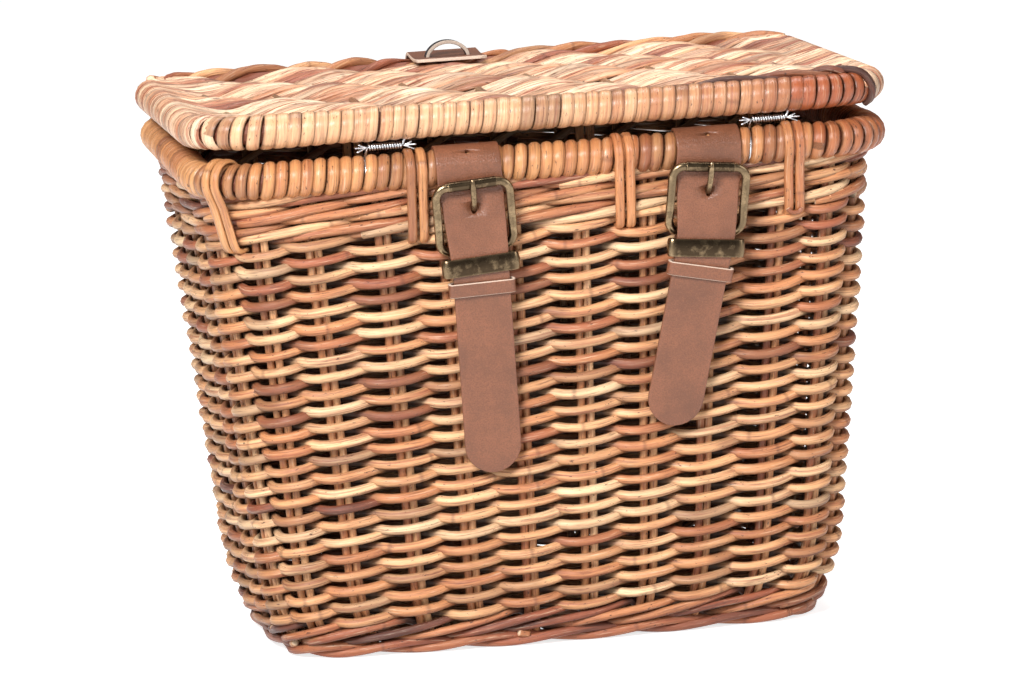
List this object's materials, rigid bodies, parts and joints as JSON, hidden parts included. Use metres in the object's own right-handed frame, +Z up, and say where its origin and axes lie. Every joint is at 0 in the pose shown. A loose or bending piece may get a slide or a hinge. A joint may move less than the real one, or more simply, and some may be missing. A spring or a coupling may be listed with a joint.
{
  "type": "lidded wicker basket",
  "caption": "Rectangular tapered wicker basket with a hinged woven lid, cane-wrapped rims, two buckled leather straps, wire hinges and a leather lid latch.",
  "frame": {"origin": "bottom centre of the whole box, on the surface the basket stands on", "axes": "+X along the basket's length, +Y from the strap and hinge side to the latch side, +Z up"},
  "size_m": [0.343, 0.2844, 0.2744],
  "materials": {
    "wicker": "peeled and buff willow rods, honey to red-brown, satin",
    "lid_rods": "pale straw and honey rods, lightly varnished",
    "cane": "varnished orange-tan cane",
    "leather": "smooth brown leather with fine grain and pale raw edges",
    "black_leather": "dark leather with a pale raw edge",
    "steel_wire": "galvanised wire",
    "aged_brass": "antique dark brass, worn bright on its edges"
  },
  "bodies": {
    "basket": {"base_border": "wicker", "base_stick_1": "wicker", "base_stick_2": "wicker", "base_stick_3": "wicker", "base_stick_4": "wicker", "base_stick_5": "wicker", "base_weave": "wicker", "latch_stud": "aged_brass", "left_buckle_frame": "aged_brass", "left_hinge_coil": "steel_wire", "left_hinge_link": "steel_wire", "left_metal_keeper": "aged_brass", "left_strap": "leather", "right_buckle_frame": "aged_brass", "right_hinge_coil": "steel_wire", "right_hinge_link": "steel_wire", "right_metal_keeper": "aged_brass", "right_strap": "leather", "rim_hoop": "wicker", "rim_lashing_1": "cane", "rim_lashing_2": "cane", "rim_lashing_3": "cane", "rim_lashing_4": "cane", "rim_lashing_5": "cane", "rim_lashing_6": "cane", "rim_lashing_7": "cane", "rim_lashing_8": "cane", "rim_wrap_back": "cane", "rim_wrap_front": "cane", "rim_wrap_left": "cane", "rim_wrap_right": "cane", "side_weave": "wicker", "top_waling": "wicker"},
    "lid": {"lid_hoop": "wicker", "lid_stick_1": "wicker", "lid_stick_10": "wicker", "lid_stick_2": "wicker", "lid_stick_3": "wicker", "lid_stick_4": "wicker", "lid_stick_5": "wicker", "lid_stick_6": "wicker", "lid_stick_7": "wicker", "lid_stick_8": "wicker", "lid_stick_9": "wicker", "lid_weave": "lid_rods", "lid_wrap_back": "cane", "lid_wrap_front": "cane", "lid_wrap_left": "cane", "lid_wrap_right": "cane", "latch_tab": "leather", "latch_loop": "black_leather"},
    "latch_flap": {"latch_flap": "leather"},
    "left_roller": {"left_buckle_roller": "aged_brass"},
    "left_prong": {"left_buckle_prong": "aged_brass"},
    "left_keeper": {"left_leather_keeper": "leather"},
    "right_roller": {"right_buckle_roller": "aged_brass"},
    "right_prong": {"right_buckle_prong": "aged_brass"},
    "right_keeper": {"right_leather_keeper": "leather"}
  },
  "joints": [
    {"name": "lid_hinge", "type": "hinge", "parent": "basket", "child": "lid", "pos_m": [0, -0.12516, 0.2614], "axis": [1, 0, 0], "range_deg": [0, 100]},
    {"name": "latch_swing", "type": "hinge", "parent": "lid", "child": "latch_flap", "pos_m": [-0.01, 0.14131, 0.25705], "axis": [1, 0, 0], "range_deg": [0, 100]},
    {"name": "left_roller_turn", "type": "hinge", "parent": "basket", "child": "left_roller", "pos_m": [-0.0375, -0.13744, 0.23092], "axis": [0.9976, 0, 0.0698], "continuous": true},
    {"name": "left_prong_lift", "type": "hinge", "parent": "basket", "child": "left_prong", "pos_m": [-0.03526, -0.12884, 0.199], "axis": [0.9976, 0, 0.0698], "range_deg": [0, 3]},
    {"name": "left_keeper_slide", "type": "slide", "parent": "basket", "child": "left_keeper", "axis": [-0.0345, -0.1436, 0.989], "range_m": [-0.06, 0.001]},
    {"name": "right_roller_turn", "type": "hinge", "parent": "basket", "child": "right_roller", "pos_m": [0.07687, -0.13744, 0.23088], "axis": [0.9962, 0, -0.0872], "continuous": true},
    {"name": "right_prong_lift", "type": "hinge", "parent": "basket", "child": "right_prong", "pos_m": [0.07408, -0.12884, 0.199], "axis": [0.9962, 0, -0.0872], "range_deg": [0, 3]},
    {"name": "right_keeper_slide", "type": "slide", "parent": "basket", "child": "right_keeper", "axis": [0.2055, -0.1508, 0.967], "range_m": [-0.045, 0.001]}
  ]
}
